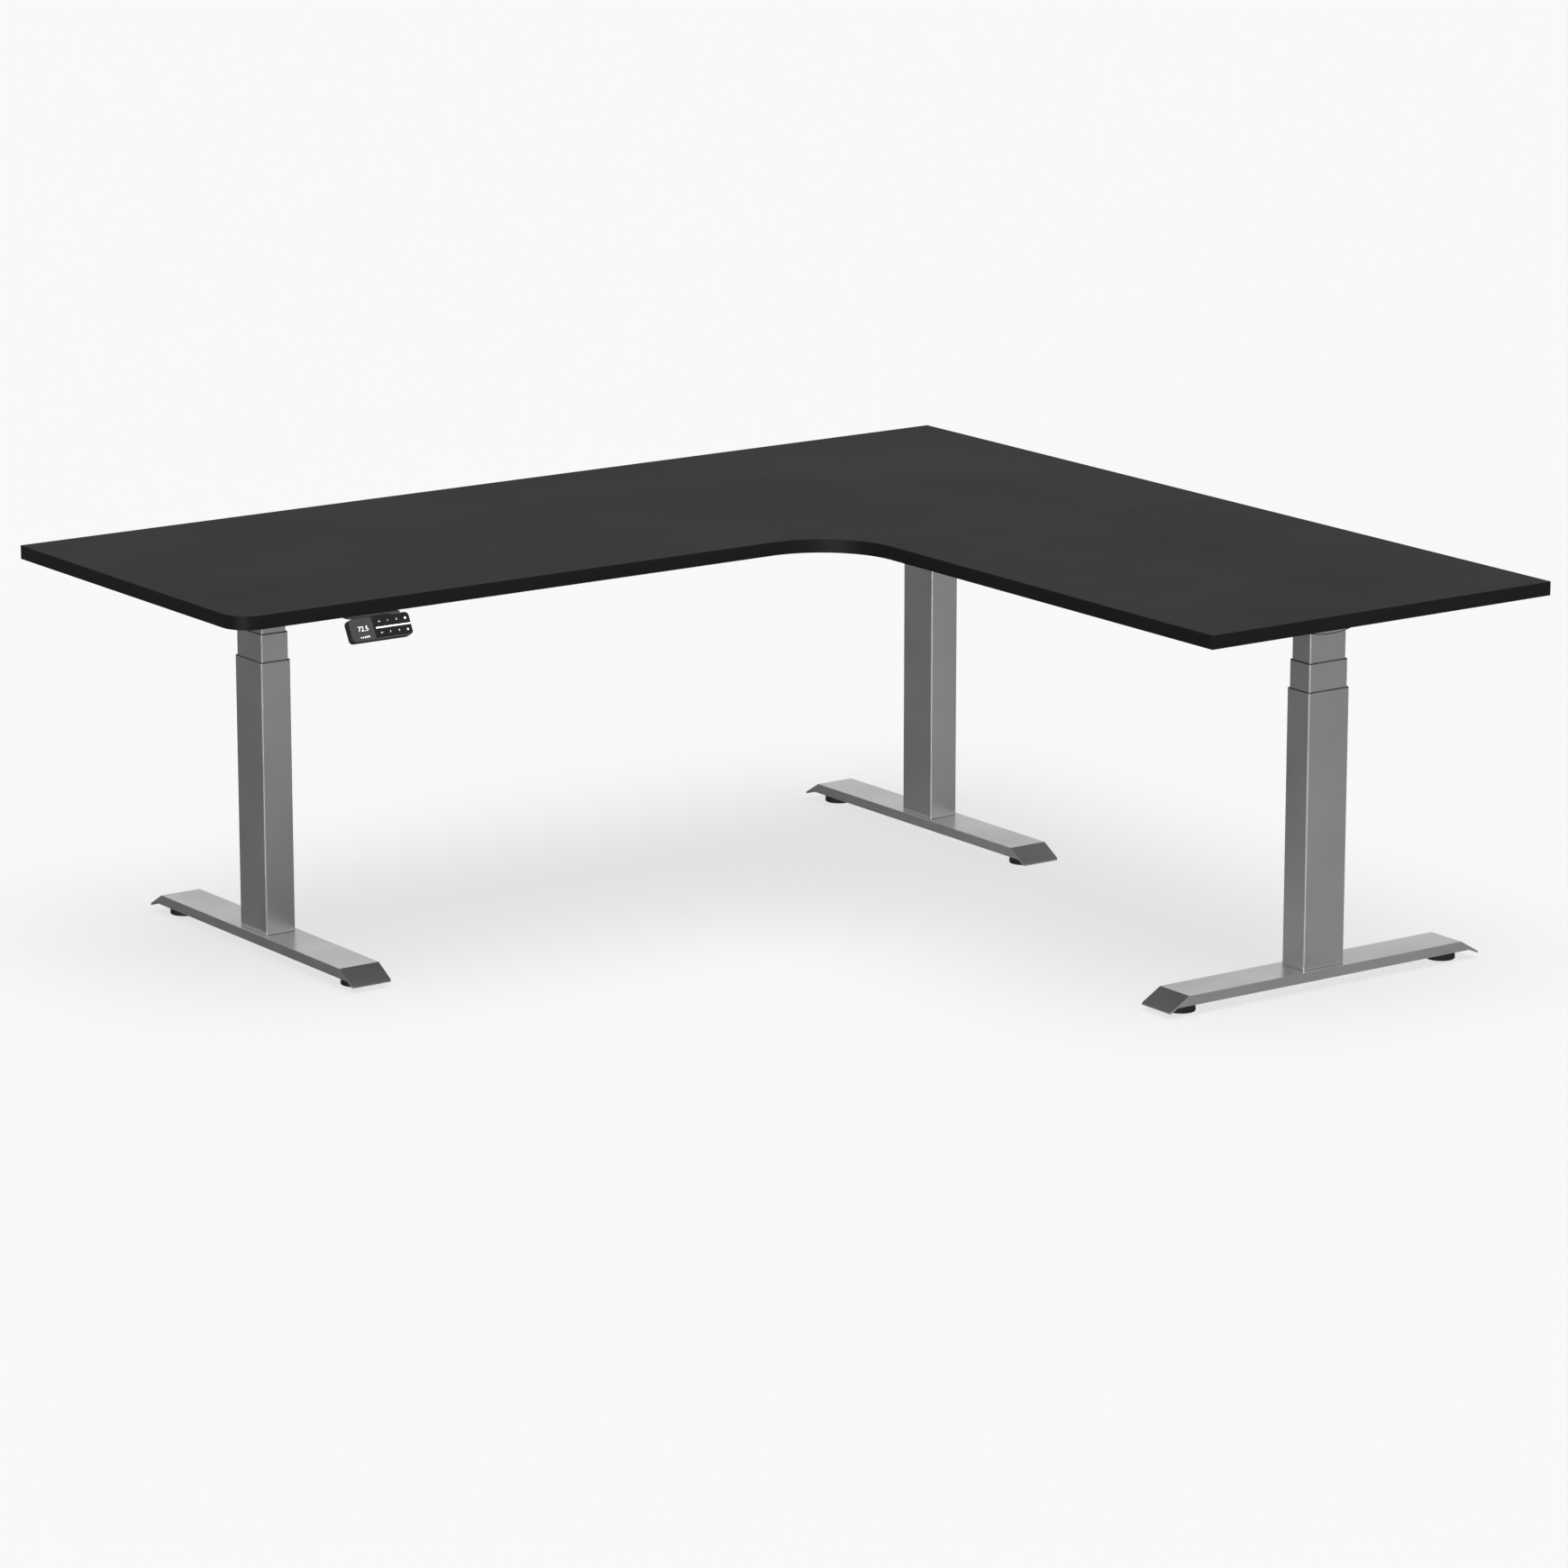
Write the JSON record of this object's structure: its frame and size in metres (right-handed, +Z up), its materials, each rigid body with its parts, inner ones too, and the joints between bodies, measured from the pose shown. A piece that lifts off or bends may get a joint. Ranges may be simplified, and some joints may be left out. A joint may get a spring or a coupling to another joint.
{
  "type": "height adjustable standing desk",
  "caption": "L-shaped height adjustable standing desk: black corner top in two boards on telescopic lifting columns with flat feet, levelling glides and an under-edge handset.",
  "frame": {"origin": "on the floor, under the middle of the bounding box", "axes": "+X along the long back edge towards the user's right, +Y towards that back edge, +Z up"},
  "size_m": [2, 1.8, 0.697],
  "materials": {
    "desktop": "matt black melamine, fine grain",
    "column_paint": "satin silver-grey powder coat",
    "frame_paint": "satin grey powder coat",
    "zinc_steel": "zinc plated",
    "motor_paint": "black painted steel can",
    "glide_rubber": "black moulded",
    "black_plastic": "fine moulded texture",
    "display": "smoked glossy window",
    "keypad": "satin membrane"
  },
  "bodies": {
    "base": {"left_foot": "column_paint", "left_outer_tube": "column_paint", "left_outer_collar": "black_plastic", "back_foot": "column_paint", "back_outer_tube": "column_paint", "back_outer_collar": "black_plastic", "right_foot": "column_paint", "right_outer_tube": "column_paint", "right_outer_collar": "black_plastic"},
    "left_middle": {"left_middle_tube": "column_paint", "left_middle_collar": "black_plastic"},
    "back_middle": {"back_middle_tube": "column_paint", "back_middle_collar": "black_plastic"},
    "right_middle": {"right_middle_tube": "column_paint", "right_middle_collar": "black_plastic"},
    "left_glide_front": {"left_glide_front": "glide_rubber"},
    "left_glide_rear": {"left_glide_rear": "glide_rubber"},
    "back_glide_front": {"back_glide_front": "glide_rubber"},
    "back_glide_rear": {"back_glide_rear": "glide_rubber"},
    "right_glide_front": {"right_glide_front": "glide_rubber"},
    "right_glide_rear": {"right_glide_rear": "glide_rubber"},
    "top": {"main_board": "desktop", "return_board": "desktop", "seam_plate_inner": "zinc_steel", "seam_plate_outer": "zinc_steel", "main_rail_front": "frame_paint", "main_rail_rear": "frame_paint", "return_rail_inner": "frame_paint", "return_rail_outer": "frame_paint", "control_box": "black_plastic", "handset_bracket": "black_plastic", "handset_shell": "black_plastic", "handset_display": "display", "handset_keypad": "keypad", "left_inner_tube": "column_paint", "left_spindle": "zinc_steel", "left_motor": "motor_paint", "left_head_housing": "column_paint", "left_support_arm": "frame_paint", "back_inner_tube": "column_paint", "back_spindle": "zinc_steel", "back_motor": "motor_paint", "back_head_housing": "column_paint", "back_support_arm": "frame_paint", "right_inner_tube": "column_paint", "right_spindle": "zinc_steel", "right_motor": "motor_paint", "right_head_housing": "column_paint", "right_support_arm": "frame_paint"},
    "key_up": {"key_up": "keypad"},
    "key_memory_1": {"key_memory_1": "keypad"},
    "key_memory_2": {"key_memory_2": "keypad"},
    "key_timer": {"key_timer": "keypad"},
    "key_down": {"key_down": "keypad"},
    "key_memory_3": {"key_memory_3": "keypad"},
    "key_memory_4": {"key_memory_4": "keypad"},
    "key_lock": {"key_lock": "keypad"}
  },
  "joints": [
    {"name": "lift", "type": "slide", "parent": "base", "child": "top", "axis": [0, 0, 1], "range_m": [-0.09, 0.56]},
    {"name": "left_stage", "type": "slide", "parent": "base", "child": "left_middle", "axis": [0, 0, 1], "range_m": [-0.045, 0.28]},
    {"name": "back_stage", "type": "slide", "parent": "base", "child": "back_middle", "axis": [0, 0, 1], "range_m": [-0.045, 0.28]},
    {"name": "right_stage", "type": "slide", "parent": "base", "child": "right_middle", "axis": [0, 0, 1], "range_m": [-0.045, 0.28]},
    {"name": "left_glide_front_turn", "type": "hinge", "parent": "base", "child": "left_glide_front", "pos_m": [-0.73, 0.2319, 0.0055], "axis": [0, 0, 1], "continuous": true},
    {"name": "left_glide_rear_turn", "type": "hinge", "parent": "base", "child": "left_glide_rear", "pos_m": [-0.73, 0.8181, 0.0055], "axis": [0, 0, 1], "continuous": true},
    {"name": "back_glide_front_turn", "type": "hinge", "parent": "base", "child": "back_glide_front", "pos_m": [0.73, 0.2319, 0.0055], "axis": [0, 0, 1], "continuous": true},
    {"name": "back_glide_rear_turn", "type": "hinge", "parent": "base", "child": "back_glide_rear", "pos_m": [0.73, 0.8181, 0.0055], "axis": [0, 0, 1], "continuous": true},
    {"name": "right_glide_front_turn", "type": "hinge", "parent": "base", "child": "right_glide_front", "pos_m": [0.3319, -0.73, 0.0055], "axis": [0, 0, 1], "continuous": true},
    {"name": "right_glide_rear_turn", "type": "hinge", "parent": "base", "child": "right_glide_rear", "pos_m": [0.9181, -0.73, 0.0055], "axis": [0, 0, 1], "continuous": true},
    {"name": "key_up_press", "type": "slide", "parent": "top", "child": "key_up", "axis": [0, 0.8846, -0.4664], "range_m": [0, 0.0008], "stiffness_N_per_m": 1500},
    {"name": "key_memory_1_press", "type": "slide", "parent": "top", "child": "key_memory_1", "axis": [0, 0.8846, -0.4664], "range_m": [0, 0.0008], "stiffness_N_per_m": 1500},
    {"name": "key_memory_2_press", "type": "slide", "parent": "top", "child": "key_memory_2", "axis": [0, 0.8846, -0.4664], "range_m": [0, 0.0008], "stiffness_N_per_m": 1500},
    {"name": "key_timer_press", "type": "slide", "parent": "top", "child": "key_timer", "axis": [0, 0.8846, -0.4664], "range_m": [0, 0.0008], "stiffness_N_per_m": 1500},
    {"name": "key_down_press", "type": "slide", "parent": "top", "child": "key_down", "axis": [0, 0.8846, -0.4664], "range_m": [0, 0.0008], "stiffness_N_per_m": 1500},
    {"name": "key_memory_3_press", "type": "slide", "parent": "top", "child": "key_memory_3", "axis": [0, 0.8846, -0.4664], "range_m": [0, 0.0008], "stiffness_N_per_m": 1500},
    {"name": "key_memory_4_press", "type": "slide", "parent": "top", "child": "key_memory_4", "axis": [0, 0.8846, -0.4664], "range_m": [0, 0.0008], "stiffness_N_per_m": 1500},
    {"name": "key_lock_press", "type": "slide", "parent": "top", "child": "key_lock", "axis": [0, 0.8846, -0.4664], "range_m": [0, 0.0008], "stiffness_N_per_m": 1500}
  ],
  "couplings": [
    {"joint": "left_stage", "follows": "lift", "ratio": 0.5},
    {"joint": "back_stage", "follows": "lift", "ratio": 0.5},
    {"joint": "right_stage", "follows": "lift", "ratio": 0.5}
  ]
}
